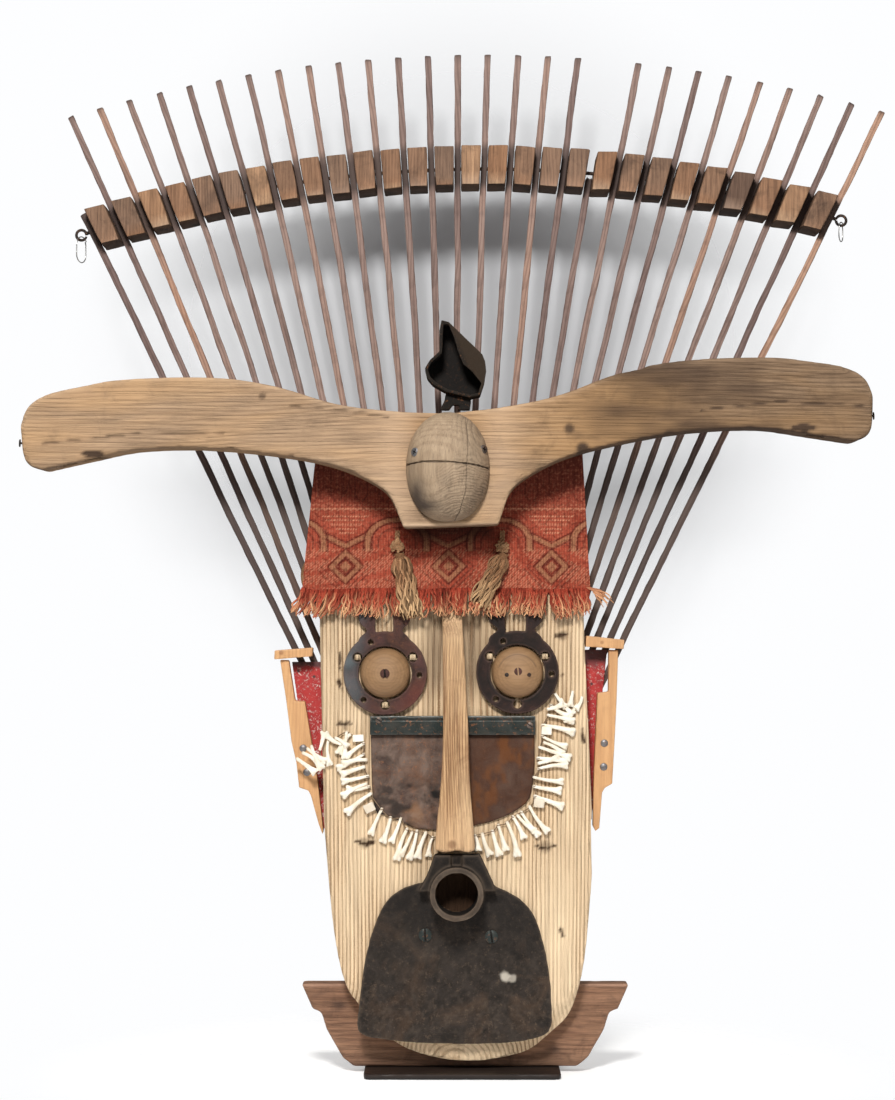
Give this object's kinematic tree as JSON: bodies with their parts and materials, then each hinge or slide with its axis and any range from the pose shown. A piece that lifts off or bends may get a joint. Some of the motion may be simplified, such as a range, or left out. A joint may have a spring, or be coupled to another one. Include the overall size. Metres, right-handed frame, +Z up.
{
  "type": "found object mask sculpture",
  "caption": "Standing mask built from found objects: a plank face with iron fittings, a yoke as wings and a fan of slender tines threaded with an arch of wooden blocks.",
  "frame": {"origin": "middle of the foot's underside", "axes": "+Z up to the tips of the tines, -Y the way the face looks, +X to the viewer's right"},
  "size_m": [0.9246, 0.2505, 1.1027],
  "materials": {
    "foot_wood": "satin",
    "base_wood": "matte",
    "face_pine": "matte",
    "yoke_wood": "matte",
    "head_wood": "matte",
    "block_wood": "matte",
    "tine_wood": "matte",
    "handle_wood": "satin",
    "dome_wood": "satin",
    "beech": "satin",
    "black_iron": "matte",
    "plate_rust": "matte",
    "blade_iron": "matte",
    "screw_steel": "satin",
    "link_wire": "satin",
    "leaf_paint": "satin",
    "bone": "satin",
    "cloth_weave": "matte",
    "tassel_yarn": "matte"
  },
  "bodies": {
    "root": {"foot": "foot_wood", "base_plank": "base_wood", "face_board": "face_pine", "hoe_head": "black_iron", "hoe_screw_left": "screw_steel", "hoe_screw_right": "screw_steel", "mouth_blade": "blade_iron", "mouth_blade_spine": "black_iron", "nose_handle": "handle_wood", "eye_plate_left": "plate_rust", "eye_plate_right": "plate_rust", "eye_dome_right": "dome_wood", "eye_screw_left": "screw_steel", "cloth": "cloth_weave", "tassel_left": "tassel_yarn", "tassel_right": "tassel_yarn", "yoke": "yoke_wood", "bird_head": "head_wood", "crest_iron": "black_iron", "ear_bar_left": "beech", "ear_bar_right": "beech", "ear_cap_left": "beech", "ear_cap_right": "beech", "ear_leaf_left": "leaf_paint", "ear_leaf_right": "leaf_paint", "bone_string": "bone", "block_arch": "block_wood", "root_clamp": "block_wood", "tine_00": "tine_wood", "tine_01": "tine_wood", "tine_02": "tine_wood", "tine_03": "tine_wood", "tine_04": "tine_wood", "tine_05": "tine_wood", "tine_06": "tine_wood", "tine_07": "tine_wood", "tine_08": "tine_wood", "tine_09": "tine_wood", "tine_10": "tine_wood", "tine_11": "tine_wood", "tine_12": "tine_wood", "tine_13": "tine_wood", "tine_14": "tine_wood", "tine_15": "tine_wood", "tine_16": "tine_wood", "tine_17": "tine_wood", "tine_18": "tine_wood", "tine_19": "tine_wood", "tine_20": "tine_wood", "tine_21": "tine_wood", "tine_22": "tine_wood", "tine_23": "tine_wood", "tine_24": "tine_wood", "tine_25": "tine_wood", "tine_26": "tine_wood", "tine_27": "tine_wood", "tine_28": "tine_wood"},
    "link_left": {"link_left": "link_wire"},
    "link_right": {"link_right": "link_wire"},
    "eye_dome_left": {"eye_dome_left": "dome_wood"}
  },
  "joints": [
    {"name": "eye_dome_left_turn", "type": "hinge", "parent": "root", "child": "eye_dome_left", "pos_m": [-0.0822, -0.078, 0.4304], "axis": [0, 1, 0], "continuous": true},
    {"name": "link_left_swing", "type": "hinge", "parent": "root", "child": "link_left", "pos_m": [-0.41395, -0.0295, 0.9026], "axis": [0, 1, 0], "range_deg": [-20, 25]},
    {"name": "link_right_swing", "type": "hinge", "parent": "root", "child": "link_right", "pos_m": [0.41235, -0.0295, 0.9184], "axis": [0, 1, 0], "range_deg": [-25, 20]}
  ]
}
